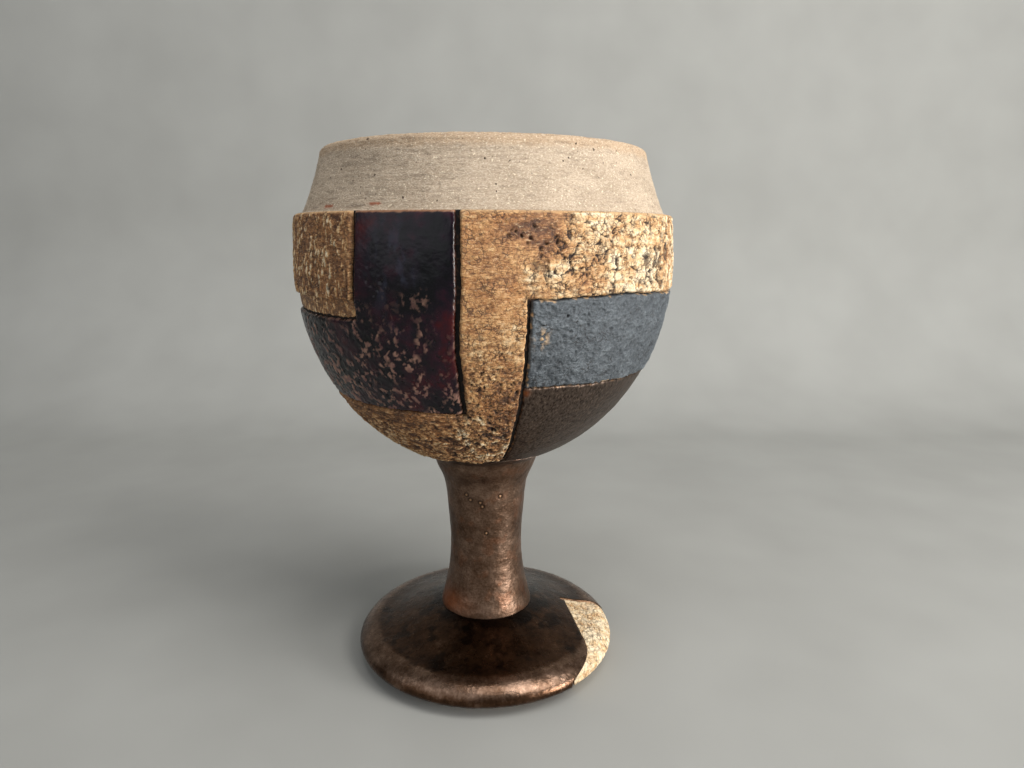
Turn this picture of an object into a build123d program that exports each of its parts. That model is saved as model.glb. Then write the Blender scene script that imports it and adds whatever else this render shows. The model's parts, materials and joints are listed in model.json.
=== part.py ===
from build123d import *
from math import cos, degrees, radians, sin, sqrt
import os

os.makedirs("parts", exist_ok=True)

# A stoneware goblet used as a communion chalice, in millimetres.  It stands on Z = 0 with
# its axis on Z, and its front faces -Y.  It is thrown as three clay pieces (bowl, stem and
# foot) that are joined with slip.  The bowl is then clad with panels of coloured slip and
# glaze, parted by scratched grooves, and the stem and foot are glazed.

# ---- foot ----
foot_radius = 34.8          # at its widest, just above the table
foot_base_radius = 29.6     # where the side wall meets the table
foot_base_slope = 0.75      # rise for each millimetre out, where the wall leaves the table
foot_widest_height = 4.2
foot_rim = (31.9, 7.7)              # top of the rounded rim, as radius and height
foot_rim_slope = 0.55       # rise for each millimetre in, on the rim
foot_dome = ((28.5, 8.6), (20.0, 10.9))     # two places up the dome
foot_height = 13.3          # from the table to the crease round the stem
foot_dome_slope = 0.31      # rise for each millimetre in, at the crease
foot_ring_width = 6.5       # flat ring that stands on the table
foot_recess_depth = 4.5
bare_foot_height = 1.0      # unglazed band above the table

# ---- stem: radii at shares of its length above the crease ----
stem_length = 40.3          # from the crease to the bowl's lowest point
crease_radius = 12.3
skirt_radius, skirt_share = 12.05, 0.035
ankle_radius, ankle_share = 10.9, 0.15
waist_radius, waist_share = 9.6, 0.47
neck_radius, neck_share = 10.25, 0.71
throat_radius, throat_share = 11.7, 0.92
flare_radius, flare_share = 12.9, 0.985
flare_rise = 3.3            # the flare meets the bowl this far above its lowest point
flare_lean = 1.2            # run outwards for each millimetre of rise, where it does
spigot_radius = 6.0
spigot_length = 2.0
slip_thickness = 0.4

# ---- bowl ----
bowl_radius = 46.5          # at the equator
bowl_drop = 50.8            # from the equator down to the bowl's lowest point
bowl_wall = 4.3
bowl_floor = 5.0
shoulder_rise = 12.5        # from the equator up to the shoulder
shoulder_draw_in = 0.75
collar_step = 1.95          # ledge from the shoulder in to the collar
collar_draw_in = 4.5        # how much the collar narrows from the ledge to the lip
collar_hollow = 0.35        # how far the collar's side is hollowed
collar_height = 14.8        # from the shoulder to the top of the lip
lip_radius = 1.6
curve_step = 15             # degrees between the points that the round side is drawn through

# ---- coats ----
coat_room = 1.3             # the clay is drawn in by the thickest coat, the ochre slip
slate_coat = 1.1
purple_coat = 1.0
bronze_coat = 0.8
wedge_coat = 0.5
liner_coat = 0.4
stain_coat = 0.25           # dark stain in the bottom of the grooves
groove_width = 0.9

# ---- panel layout: azimuths in degrees from the front (-Y), positive towards +X ----
seam_left_back = -100
seam_left = -36
seam_middle = -7
seam_right = 11
seam_right_back = 100
seam_back = 158
seam_back_left = 205

# ---- panel layout: heights above the bowl's lowest point ----
coat_low = 5.1
purple_low = 21.0
slate_low = 27.0
patch_low = 41.4
slate_high = 46.8
back_purple_low = 24.5
back_slate_low = 34.0

# ---- ochre wedge on the foot ----
wedge_tip = (22.2, 4.1)             # on the foot's dome, seen from above
wedge_front_turn = -79.1            # direction of its front edge, from +X

# ---- heights and radii that follow ----
bowl_bottom_z = foot_height + stem_length
equator_z = bowl_bottom_z + bowl_drop
shoulder_z = equator_z + shoulder_rise
lip_centre_z = shoulder_z + collar_height - lip_radius
coat_low_z = bowl_bottom_z + coat_low
shoulder_radius = bowl_radius - shoulder_draw_in
collar_radius = shoulder_radius - collar_step
lip_outer_radius = collar_radius - collar_draw_in
lip_inner_radius = lip_outer_radius - 2 * lip_radius
flare_z = bowl_bottom_z + flare_rise
waist_z = foot_height + waist_share * stem_length
seat_z = foot_height - bronze_coat
stem_base_z = seat_z + slip_thickness
clay_bottom_z = bowl_bottom_z + coat_room


def ellipse_radius(z, inset):
    """Radius of the bowl below its equator, drawn in by inset."""
    drop = (equator_z - z) / (bowl_drop - inset)
    return (bowl_radius - inset) * sqrt(1 - drop**2)


def round_side(radius, drop, top_radius, top_z):
    """Line from the axis round a quarter of an ellipse, and on up to a narrower top."""
    rise, draw_in = top_z - equator_z, radius - top_radius
    quarter = [(radius * sin(radians(angle)), equator_z - drop * cos(radians(angle)))
               for angle in range(0, 91, curve_step)]
    upper = [(radius - draw_in * share**2, equator_z + rise * share) for share in (0.5, 1)]
    Spline(*quarter, *upper, tangents=[(1, 0), (-2 * draw_in / rise, 1)])


def bowl_side(inset):
    """Line from the bowl's lowest point, on the axis, to its equator and shoulder."""
    round_side(bowl_radius - inset, bowl_drop - inset, shoulder_radius - inset, shoulder_z)


def bowl_face(inset):
    """Half section of the bowl up to its shoulder, filled in to the axis."""
    with BuildSketch() as section:
        with BuildLine():
            bowl_side(inset)
            Polyline((shoulder_radius - inset, shoulder_z), (0, shoulder_z), (0, bowl_bottom_z + inset))
        make_face()
    return section.sketch


def coat_face(z_low, z_high, outer_inset, inner_inset):
    """Half section of a coat on the bowl, between two heights."""
    with BuildSketch() as section:
        add(bowl_face(outer_inset))
        add(bowl_face(inner_inset), mode=Mode.SUBTRACT)
        with Locations((bowl_radius / 2, (z_low + z_high) / 2)):
            Rectangle(2 * bowl_radius, z_high - z_low, mode=Mode.INTERSECT)
    return section.sketch


def hollow_face(inset):
    """Half section of the space inside the bowl, up to the lip's centre height."""
    side = bowl_radius - coat_room - bowl_wall - inset
    floor_drop = bowl_drop - coat_room - bowl_floor - inset
    mouth = (lip_inner_radius - inset, lip_centre_z)
    with BuildSketch() as section:
        with BuildLine():
            round_side(side, floor_drop, mouth[0], mouth[1])
            Polyline(mouth, (0, lip_centre_z), (0, equator_z - floor_drop))
        make_face()
    return section.sketch


def stem_face(inset, top_inset):
    """Half section of the stem from the crease to the bowl's underside, filled in to the axis."""
    waists = ((skirt_radius, skirt_share), (ankle_radius, ankle_share), (waist_radius, waist_share),
              (neck_radius, neck_share), (throat_radius, throat_share), (flare_radius, flare_share))
    side = [(radius - inset, foot_height + share * stem_length) for radius, share in waists]
    top = (ellipse_radius(flare_z, top_inset), flare_z)
    crease = (crease_radius - inset, foot_height)
    with BuildSketch() as section:
        with BuildLine():
            Spline(crease, *side, top, tangents=[(0, 1), (flare_lean, 1)])
            Polyline(top, (0, flare_z), (0, foot_height), crease)
        make_face()
    return section.sketch


def foot_face(inset):
    """Half section of the foot, filled in to the axis."""
    base = (foot_base_radius - inset, 0)
    widest = (foot_radius - inset, foot_widest_height)
    rim, *dome = [(radius - foot_dome_slope * inset, height - inset)
                  for radius, height in (foot_rim, *foot_dome)]
    crease = (crease_radius - inset, foot_height - inset)
    with BuildSketch() as section:
        with BuildLine():
            Spline(base, widest, rim, tangents=[(1, foot_base_slope), (-1, foot_rim_slope)])
            Spline(rim, *dome, crease, tangents=[(-1, foot_rim_slope), (-1, foot_dome_slope)])
            Polyline(crease, (0, crease[1]), (0, 0), base)
        make_face()
    return section.sketch


def spoke(azimuth):
    """Upright plane from the axis out towards an azimuth, with Z as its second direction."""
    outward = (sin(radians(azimuth)), -cos(radians(azimuth)), 0)
    return Plane(origin=(0, 0, 0), x_dir=outward, z_dir=(outward[1], -outward[0], 0))


def turned(face, mode=Mode.ADD, azimuth=90, arc=360):
    """Turn a half section about the axis, from an azimuth and through an arc."""
    with BuildPart(mode=Mode.PRIVATE) as body:
        with BuildSketch(spoke(azimuth)):
            add(face)
        revolve(axis=Axis.Z, revolution_arc=arc)
    add(body.part, mode=mode)


def peg(radius, z_low, z_high, mode=Mode.ADD):
    """Round peg, or socket, on the axis."""
    with Locations((0, 0, z_low)):
        Cylinder(radius, z_high - z_low, align=(Align.CENTER, Align.CENTER, Align.MIN), mode=mode)


# ---- clay pieces ----
socket_radius = spigot_radius + slip_thickness
spigot_top_z = clay_bottom_z - slip_thickness + spigot_length

with BuildPart() as bowl:
    with BuildSketch(Plane.XZ) as bowl_section:
        with BuildLine():
            bowl_side(coat_room)
            Line((shoulder_radius - coat_room, shoulder_z), (collar_radius, shoulder_z))
            ThreePointArc((collar_radius, shoulder_z),
                          ((collar_radius + lip_outer_radius) / 2 - collar_hollow,
                           (shoulder_z + lip_centre_z) / 2),
                          (lip_outer_radius, lip_centre_z))
            ThreePointArc((lip_outer_radius, lip_centre_z),
                          (lip_outer_radius - lip_radius, lip_centre_z + lip_radius),
                          (lip_inner_radius, lip_centre_z))
            Polyline((lip_inner_radius, lip_centre_z), (0, lip_centre_z), (0, clay_bottom_z))
        make_face()
    revolve(axis=Axis.Z)
    turned(hollow_face(0), mode=Mode.SUBTRACT)
    peg(socket_radius, bowl_bottom_z, spigot_top_z + slip_thickness, mode=Mode.SUBTRACT)
bowl.part.label = "bowl"

with BuildPart() as foot:
    turned(foot_face(bronze_coat))
    recess_radius = foot_base_radius - bronze_coat - foot_ring_width
    with BuildSketch(Plane.XZ) as recess_section:
        with BuildLine():
            TangentArc((0, foot_recess_depth), (recess_radius, 0), tangent=(1, 0))
            Polyline((recess_radius, 0), (0, 0), (0, foot_recess_depth))
        make_face()
    revolve(axis=Axis.Z, mode=Mode.SUBTRACT)
    peg(socket_radius, seat_z - spigot_length, seat_z, mode=Mode.SUBTRACT)
foot.part.label = "foot"

with BuildPart() as stem:
    turned(stem_face(bronze_coat, coat_room))
    peg(crease_radius - bronze_coat, stem_base_z, foot_height)
    turned(bowl_face(coat_room - slip_thickness), mode=Mode.SUBTRACT)
    peg(spigot_radius, waist_z, spigot_top_z)
    peg(spigot_radius, stem_base_z - spigot_length, waist_z)
stem.part.label = "stem"

with BuildPart() as upper_slip_joint:
    turned(stem_face(bronze_coat, coat_room))
    peg(socket_radius, waist_z, spigot_top_z + slip_thickness)
    add(bowl.part, mode=Mode.SUBTRACT)
    add(stem.part, mode=Mode.SUBTRACT)
upper_slip_joint.part.label = "upper_slip_joint"

with BuildPart() as lower_slip_joint:
    peg(crease_radius - bronze_coat, seat_z, stem_base_z)
    peg(socket_radius, seat_z - spigot_length, seat_z)
    add(stem.part, mode=Mode.SUBTRACT)
lower_slip_joint.part.label = "lower_slip_joint"

# ---- glaze inside the bowl ----
with BuildPart() as liner_glaze:
    turned(hollow_face(0))
    turned(hollow_face(liner_coat), mode=Mode.SUBTRACT)
liner_glaze.part.label = "liner_glaze"

# ---- panels on the bowl: each is one or more cells (azimuth from, to, height from, to) ----
gap = groove_width / 2
turn = degrees(gap / bowl_radius)
whole_circle = 360
top = shoulder_z - bowl_bottom_z

ochre_cells = {
    "ochre_panel_left": [
        (seam_left_back + turn, seam_left - turn, patch_low + gap, top)],
    "ochre_panel_front": [
        (seam_middle + turn, seam_right - turn, coat_low, top),
        (seam_right - turn, seam_right_back - turn, slate_high + gap, top),
        (seam_left_back + turn, seam_middle + turn, coat_low, purple_low - gap)],
    "ochre_panel_back": [
        (seam_back + turn, seam_back_left - turn, coat_low, top),
        (seam_right_back + turn, seam_back + turn, coat_low, back_purple_low - gap)],
}
purple_cells = {
    "purple_panel_front": [
        (seam_left + turn, seam_middle - turn, purple_low + gap, top),
        (seam_left_back + turn, seam_left + turn, purple_low + gap, patch_low - gap)],
    "purple_panel_back": [
        (seam_right_back + turn, seam_back - turn, back_purple_low + gap, top)],
}
slate_cells = {
    "slate_panel_front": [
        (seam_right + turn, seam_right_back - turn, slate_low + gap, slate_high - gap)],
    "slate_panel_back": [
        (seam_back_left + turn, seam_left_back + whole_circle - turn, back_slate_low + gap, top)],
}
bronze_cells = {
    "bronze_panel_front": [
        (seam_right + turn, seam_right_back - turn, coat_low, slate_low - gap)],
    "bronze_panel_back": [
        (seam_back_left + turn, seam_left_back + whole_circle - turn, coat_low, back_slate_low - gap)],
}


def turned_cells(cells, outer_inset, inner_inset):
    """Turn each cell of a panel, between two insets of the bowl's outline."""
    for azimuth_from, azimuth_to, height_from, height_to in cells:
        section = coat_face(bowl_bottom_z + height_from, bowl_bottom_z + height_to,
                            outer_inset, inner_inset)
        turned(section, azimuth=azimuth_from, arc=azimuth_to - azimuth_from)


for coat, panels in ((coat_room, ochre_cells), (purple_coat, purple_cells),
                     (slate_coat, slate_cells), (bronze_coat, bronze_cells)):
    for name, cells in panels.items():
        with BuildPart() as panel:
            turned_cells(cells, coat_room - coat, coat_room)
        panel.part.label = name
        export_step(panel.part, f"parts/{name}.step")

# ---- dark stain in the bottom of the grooves between the panels ----
# upright grooves are (azimuth, height from, to), level ones are (azimuth from, to, height)
upright_grooves = [
    (seam_left, patch_low - gap, top), (seam_middle, purple_low - gap, top),
    (seam_right, coat_low, slate_high + gap), (seam_right_back, coat_low, top),
    (seam_back, back_purple_low - gap, top), (seam_back_left, coat_low, top),
    (seam_left_back, coat_low, top)]
level_grooves = [
    (seam_left_back, seam_left, patch_low), (seam_left_back, seam_middle, purple_low),
    (seam_right, seam_right_back, slate_high), (seam_right, seam_right_back, slate_low),
    (seam_right_back, seam_back, back_purple_low),
    (seam_back_left, seam_left_back + whole_circle, back_slate_low)]

with BuildPart() as groove_stain:
    turned_cells([(seam - turn, seam + turn, low, high) for seam, low, high in upright_grooves]
                 + [(start + turn, end - turn, height - gap, height + gap)
                    for start, end, height in level_grooves],
                 coat_room - stain_coat, coat_room)
groove_stain.part.label = "groove_stain"

# ---- glaze on the stem and the bowl's underside ----
with BuildPart() as stem_glaze:
    turned(stem_face(0, coat_room - bronze_coat))
    turned(coat_face(bowl_bottom_z, coat_low_z, coat_room - bronze_coat, coat_room))
    for covered in (bowl, stem, upper_slip_joint):
        add(covered.part, mode=Mode.SUBTRACT)
stem_glaze.part.label = "stem_glaze"

# ---- glaze on the foot, with a wedge of bare ochre slip ----
with BuildPart() as wedge_prism:
    with BuildSketch() as wedge_outline:
        reach = 2 * foot_radius
        front = (wedge_tip[0] + reach * cos(radians(wedge_front_turn)),
                 wedge_tip[1] + reach * sin(radians(wedge_front_turn)))
        back = (2 * wedge_tip[0], 2 * wedge_tip[1])
        with BuildLine():
            Polyline(wedge_tip, front, (reach, front[1]), (reach, back[1]), back, close=True)
        make_face()
    extrude(amount=foot_height)


def foot_coat(coat):
    """Coat of glaze or slip on the foot, above the bare band."""
    turned(foot_face(bronze_coat - coat))
    turned(foot_face(bronze_coat), mode=Mode.SUBTRACT)
    peg(crease_radius - bronze_coat, seat_z, foot_height, mode=Mode.SUBTRACT)
    peg(foot_radius, 0, bare_foot_height, mode=Mode.SUBTRACT)


with BuildPart() as foot_glaze:
    foot_coat(bronze_coat)
    add(wedge_prism.part, mode=Mode.SUBTRACT)
foot_glaze.part.label = "foot_glaze"

with BuildPart() as foot_ochre_wedge:
    foot_coat(wedge_coat)
    add(wedge_prism.part, mode=Mode.INTERSECT)
foot_ochre_wedge.part.label = "foot_ochre_wedge"

for piece in (bowl, foot, stem, upper_slip_joint, lower_slip_joint, liner_glaze, groove_stain,
              stem_glaze, foot_glaze, foot_ochre_wedge):
    export_step(piece.part, f"parts/{piece.part.label}.step")
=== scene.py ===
import json
import math
from itertools import product

import bpy
import numpy as np
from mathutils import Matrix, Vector
from mathutils.bvhtree import BVHTree


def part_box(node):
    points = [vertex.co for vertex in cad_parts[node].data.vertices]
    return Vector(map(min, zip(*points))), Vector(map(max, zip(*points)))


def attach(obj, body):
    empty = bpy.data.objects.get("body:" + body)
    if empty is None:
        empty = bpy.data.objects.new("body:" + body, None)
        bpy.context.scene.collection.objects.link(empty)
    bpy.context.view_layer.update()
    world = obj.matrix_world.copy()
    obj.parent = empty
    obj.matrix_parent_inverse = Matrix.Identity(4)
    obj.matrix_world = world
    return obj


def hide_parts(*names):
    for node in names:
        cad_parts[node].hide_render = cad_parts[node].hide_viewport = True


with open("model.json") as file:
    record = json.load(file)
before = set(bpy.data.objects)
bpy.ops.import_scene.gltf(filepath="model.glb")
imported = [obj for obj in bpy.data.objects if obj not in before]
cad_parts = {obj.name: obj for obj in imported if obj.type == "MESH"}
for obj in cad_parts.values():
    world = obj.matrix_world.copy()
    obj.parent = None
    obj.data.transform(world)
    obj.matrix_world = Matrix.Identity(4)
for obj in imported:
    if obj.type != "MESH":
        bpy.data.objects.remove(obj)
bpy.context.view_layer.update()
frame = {"record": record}

# The looks of a stoneware communion chalice.  Lengths are millimetres until a mesh is made.
# Azimuths are degrees from the front (-Y), positive towards +X; heights are above the table.

MM = 0.001
GRAIN = 0.2          # spacing of the vertices on the clad bowl
STEM_GRAIN = 0.22    # and on the glaze of the stem and the foot
FOOT_GRAIN = 0.25
FAR = 99.0                                  # farther than any edge is

# ---- sizes, the same as the CAD model's ----
WIDTH, _, LIP_Z = [side / MM for side in frame["record"]["size"]["bbox_m"]]


def height_of(node, end):
    """Lowest (0) or highest (1) height of a CAD node."""
    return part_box(node)[end].z / MM


BOWL_RADIUS = WIDTH / 2
SHOULDER_Z = height_of("ochre_panel_front", 1)
COAT_LOW_Z = height_of("ochre_panel_front", 0)
CREASE_Z = height_of("foot_glaze", 1)
BOWL_BOTTOM_Z = COAT_LOW_Z - 5.1            # the coats stop that far above the bowl's lowest point
EQUATOR_Z = SHOULDER_Z - 12.5               # the bowl is widest that far below its shoulder
BOWL_DROP = EQUATOR_Z - BOWL_BOTTOM_Z
SHOULDER_DRAW_IN = 0.75
LEDGE = 1.95                                # width of the ledge between the coats and the collar
COLLAR_RADIUS = BOWL_RADIUS - SHOULDER_DRAW_IN - LEDGE
COLLAR_DRAW_IN = 4.5
COLLAR_HOLLOW = 0.35
LIP_ROUND = 1.6                             # radius of the lip's rounding
LIP_RADIUS = COLLAR_RADIUS - COLLAR_DRAW_IN - LIP_ROUND
COAT = 1.3                                  # thickness of the ochre slip
WALL = 4.3
FLOOR = 5.0
BRONZE = 0.8                                # thickness of the bronze glaze
LINER = 0.4
FOOT_BASE_RADIUS = 29.6
GLAZE_LOW_Z = 1.0                           # the foot is bare below this
CREASE_RADIUS = 12.3
RING_WIDTH = 6.5                            # the ring that the foot stands on
RECESS_DEPTH = 4.5
INSIDE = 0.03                               # a CAD node's side is measured that far inside its ends

# seams between the panels (azimuths) and heights of their level edges
LEFT_BACK, LEFT, MIDDLE, RIGHT, RIGHT_BACK, BACK, BACK_LEFT = -100, -36, -7, 11, 100, 158, 205
PURPLE_LOW = BOWL_BOTTOM_Z + 21.0
SLATE_LOW = BOWL_BOTTOM_Z + 27.0
PATCH_LOW = BOWL_BOTTOM_Z + 41.4
SLATE_HIGH = BOWL_BOTTOM_Z + 46.8
BACK_PURPLE_LOW = BOWL_BOTTOM_Z + 24.5
BACK_SLATE_LOW = BOWL_BOTTOM_Z + 34.0
GROOVE = 0.9


# ---- camera ----
CAMERA_PLACE = (0, -0.1821, 0.1120)         # metres
CAMERA_DOWN, CAMERA_ROLL, CAMERA_TURN = 11.80, -0.20, -2.15
LENS = 24.96


def add_camera():
    """A short lens close to the chalice, a little below its lip and tilted down."""
    data = bpy.data.cameras.new("camera")
    data.sensor_width = 36
    data.lens = LENS
    data.clip_start = 0.01
    camera = bpy.data.objects.new("camera", data)
    camera.location = CAMERA_PLACE
    camera.rotation_euler = [math.radians(angle) for angle in (90 - CAMERA_DOWN, CAMERA_ROLL, CAMERA_TURN)]
    bpy.context.scene.collection.objects.link(camera)
    bpy.context.scene.camera = camera


# ---- numbers that vary over a surface ----
def smooth(low, high, x):
    """0 below low and 1 above high, with a soft step between; low may be the larger."""
    t = np.clip((x - low) / (high - low), 0, 1)
    return t * t * (3 - 2 * t)


def blob(x, y, x0, y0, x_size, y_size):
    """1 at a place and fading to 0 at about its size away."""
    return np.exp(-((x - x0) / x_size) ** 2 - ((y - y0) / y_size) ** 2)


def lattice(cells, seed):
    """A steady random number from 0 to 1 for each whole-number cell."""
    c = cells.astype(np.int64).astype(np.uint32)
    h = c[..., 0] * np.uint32(0x8DA6B343) ^ c[..., 1] * np.uint32(0xD8163841)
    h ^= c[..., 2] * np.uint32(0xCB1AB31F) ^ np.uint32(seed * 0x9E3779B1 & 0xFFFFFFFF)
    h = (h ^ h >> np.uint32(15)) * np.uint32(0x2C1B3C6D)
    h = (h ^ h >> np.uint32(12)) * np.uint32(0x297A2D39)
    return (h ^ h >> np.uint32(15)) / 2.0**32


def noise(points, size, seed, octaves=1):
    """Smooth noise, about -1 to 1, whose bumps are about size across; octaves add finer ones."""
    slopes = np.array([s for s in product((-1, 0, 1), repeat=3) if sum(map(abs, s)) == 2], float)
    total, gain = 0, 1.0
    for octave in range(octaves):
        p = points * (2**octave / size) + 17.3 * octave
        low = np.floor(p)
        t = p - low
        fade = t**3 * (t * (6 * t - 15) + 10)
        layer = 0
        for corner in product((0, 1), repeat=3):
            weight = np.prod(np.where(corner, fade, 1 - fade), axis=-1)
            slope = slopes[(lattice(low + corner, seed + octave) * 12).astype(int)]
            layer = layer + weight * np.sum(slope * (t - corner), axis=-1)
        total = total + gain * layer
        gain *= 0.5
    return 1.3 * total


def cells(points, size, seed):
    """Random cells of about that size: distance to the centre, distance to the border, random tag."""
    p = points / size
    low = np.floor(p)
    near, second = np.full((2,) + p.shape[:-1], FAR)
    near_at, second_at = np.zeros((2,) + p.shape)
    tag = np.zeros(p.shape[:-1])
    for step in product((-1, 0, 1), repeat=3):
        cell = low + step
        centre = cell + np.stack([lattice(cell, seed + axis) for axis in range(3)], axis=-1)
        distance = np.sum((centre - p) ** 2, axis=-1)
        closest, between = distance < near, (distance >= near) & (distance < second)
        second_at = np.where(closest[..., None], near_at, np.where(between[..., None], centre, second_at))
        second = np.where(closest, near, np.where(between, distance, second))
        near_at = np.where(closest[..., None], centre, near_at)
        near = np.where(closest, distance, near)
        tag = np.where(closest, lattice(cell, seed + 3), tag)
    border = (second - near) / (2 * np.linalg.norm(second_at - near_at, axis=-1))
    return np.sqrt(near) * size, border * size, tag


def shifted(points, size, amount, seed):
    """The points moved about by noise, so that what is made from them isn't straight."""
    move = [noise(points, size, seed + axis) for axis in range(3)]
    return points + amount * np.stack(move, axis=-1)


def pits(points, size, share, radius, seed):
    """0 to 1 inside round pits: a share of the cells has one, up to that radius."""
    distance, _, tag = cells(points, size, seed)
    reach = radius * (0.45 + 0.55 * np.modf(tag * 57)[0])
    return np.where(tag < share, smooth(reach, 0.35 * reach, distance), 0)


# ---- outlines: half sections as (radius, height) points ----
def bowl_outline(inset, count=400):
    """The bowl's side from its lowest point up to the shoulder."""
    radius, drop = BOWL_RADIUS - inset, BOWL_DROP - inset
    turn = np.linspace(-math.pi / 2, 0, count)
    lower = np.stack([radius * np.cos(turn), EQUATOR_Z + drop * np.sin(turn)], axis=1)
    share = np.linspace(0, 1, count // 3)[1:]
    heights = EQUATOR_Z + (SHOULDER_Z - EQUATOR_Z) * share
    upper = np.stack([radius - SHOULDER_DRAW_IN * share**2, heights], axis=1)
    return np.concatenate([lower, upper])


def curve_through(points, count=200):
    """A smooth line through a few (radius, height) points (Catmull-Rom)."""
    p = np.array([points[0], *points, points[-1]], float)
    parts = []
    for a, b, c, d in zip(p, p[1:], p[2:], p[3:]):
        t = np.linspace(0, 1, count // (len(points) - 1), endpoint=False)[:, None]
        parts.append(0.5 * (2 * b + (c - a) * t + (2 * a - 5 * b + 4 * c - d) * t**2
                            + (3 * b - a - 3 * c + d) * t**3))
    return np.concatenate([*parts, p[-1:]])


class Outline:
    """A half section with the distance run along it, and the direction out of the surface."""

    def __init__(self, line):
        self.line = np.asarray(line, float)
        steps = np.diff(self.line, axis=0)
        self.run = np.concatenate([[0], np.cumsum(np.linalg.norm(steps, axis=1))])
        along = np.gradient(self.line, self.run, axis=0)
        self.out = np.stack([along[:, 1], -along[:, 0]], axis=1)
        self.out /= np.linalg.norm(self.out, axis=1, keepdims=True)

    def at(self, run):
        """Points and outward directions, (radius, height) each, at distances along the line."""
        return [np.stack([np.interp(run, self.run, way[:, k]) for k in (0, 1)], axis=-1)
                for way in (self.line, self.out)]

    def run_at(self, z):
        """Distance along the line at a height, for a line that only rises."""
        return np.interp(z, self.line[:, 1], self.run)


def around(azimuth, radius_height):
    """(x, y, z) points from azimuths and (radius, height) pairs."""
    a = np.radians(azimuth)
    r, z = radius_height[..., 0], radius_height[..., 1]
    return np.stack([r * np.sin(a), -r * np.cos(a), z + 0 * a], axis=-1)


# ---- meshes ----
def make_object(name, points, faces, layers, material, node_names, slot):
    """An object from points in millimetres, polygons and a value per point for each named layer."""
    used = np.unique(np.concatenate([f.ravel() for f in faces]))
    renumber = np.full(len(points), -1)
    renumber[used] = np.arange(len(used))
    mesh = bpy.data.meshes.new(name)
    mesh.from_pydata(points[used] * MM, [], [p for f in faces for p in renumber[f].tolist()])
    for layer, values in layers.items():
        attribute = mesh.attributes.new(layer, "FLOAT", "POINT")
        attribute.data.foreach_set("value", values[used].astype(np.float32))
    mesh.shade_smooth()
    mesh.materials.append(material)
    mesh.validate()
    piece = bpy.data.objects.new(name, mesh)
    bpy.context.scene.collection.objects.link(piece)
    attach(piece, "root")
    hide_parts(*node_names)
    return piece


def grid_faces(index):
    """Quads of a grid of point numbers whose first index runs round and whose second runs up."""
    ring = [index[:-1, :-1], index[1:, :-1], index[1:, 1:], index[:-1, 1:]]
    return np.stack(ring, axis=-1).reshape(-1, 4)


def slab(name, top, bottom, keep, step, layers, **look):
    """A closed piece between two grids of points.  keep says which blocks of step x step quads it has."""
    top_index = np.arange(top[..., 0].size).reshape(top.shape[:2])
    low_index = top_index.size + np.arange(keep.size + sum(keep.shape) + 1).reshape(
        keep.shape[0] + 1, keep.shape[1] + 1)
    fine = np.kron(keep, np.ones((step, step), bool)).ravel()
    faces = [grid_faces(top_index)[fine], grid_faces(low_index)[keep.ravel()][:, ::-1]]
    padded = np.pad(keep, 1)
    for di, dj in ((-1, 0), (1, 0), (0, -1), (0, 1)):
        beyond = padded[1 + di:padded.shape[0] - 1 + di, 1 + dj:padded.shape[1] - 1 + dj]
        i, j = np.nonzero(keep & ~beyond)
        edge_i, edge_j = i + (di > 0), j + (dj > 0)
        steps = np.arange(step + 1)
        if di:
            rim = top_index[edge_i[:, None] * step, j[:, None] * step + steps]
            foot = np.stack([low_index[edge_i, j + 1], low_index[edge_i, j]], axis=1)
        else:
            rim = top_index[i[:, None] * step + steps, edge_j[:, None] * step]
            foot = np.stack([low_index[i + 1, edge_j], low_index[i, edge_j]], axis=1)
        wall = np.concatenate([rim, foot], axis=1)
        faces.append(wall[:, ::-1] if di > 0 or dj < 0 else wall)
    points = np.concatenate([top.reshape(-1, 3), bottom.reshape(-1, 3)])
    spare = np.zeros(bottom[..., 0].size)
    layers = {key: np.concatenate([value.ravel(), spare]) for key, value in layers.items()}
    return make_object(name, points, faces, layers, **look)


def lathe(name, outline, columns, relief, **look):
    """A closed turned piece.  relief(azimuth, points, run) gives its rise and its layers.
    An outline that starts and ends on the axis is closed there; any other joins its own start."""
    on_axis = outline.line[0, 0] < 1e-6
    line, out = outline.line[:-1], outline.out[:-1]
    if on_axis:
        line, out = outline.line[1:-1], outline.out[1:-1]
    azimuth = np.linspace(-180, 180, columns, endpoint=False)[:, None]
    points = around(azimuth, line[None])
    run = outline.run[1:-1] if on_axis else outline.run[:-1]
    rise, layers = relief(azimuth + 0 * run, points, run[None] + 0 * azimuth)
    points = points + rise[..., None] * (around(azimuth, out[None]))
    index = np.arange(points[..., 0].size).reshape(points.shape[:2])
    index = np.concatenate([index, index[:1]])
    if not on_axis:
        index = np.concatenate([index, index[:, :1]], axis=1)
    faces = [grid_faces(index)]
    points = points.reshape(-1, 3)
    layers = {key: value.ravel() for key, value in layers.items()}
    if on_axis:
        for end, pole in ((0, outline.line[0]), (-1, outline.line[-1])):
            ring = np.stack([index[:-1, end], index[1:, end]], axis=1)
            ring = ring[:, ::-1] if end == 0 else ring
            faces.append(np.column_stack([ring, np.full(len(ring), len(points))]))
            points = np.concatenate([points, [[0, 0, pole[1]]]])
            layers = {key: np.append(value, value.reshape(-1)[0]) for key, value in layers.items()}
    return make_object(name, points, faces, layers, **look)


# ---- materials ----
def colour(red, green, blue):
    """A colour given as 0 to 255 screen values, as the shader's linear RGBA."""
    return [(c / 255) ** 2.2 for c in (red, green, blue)] + [1]


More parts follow.
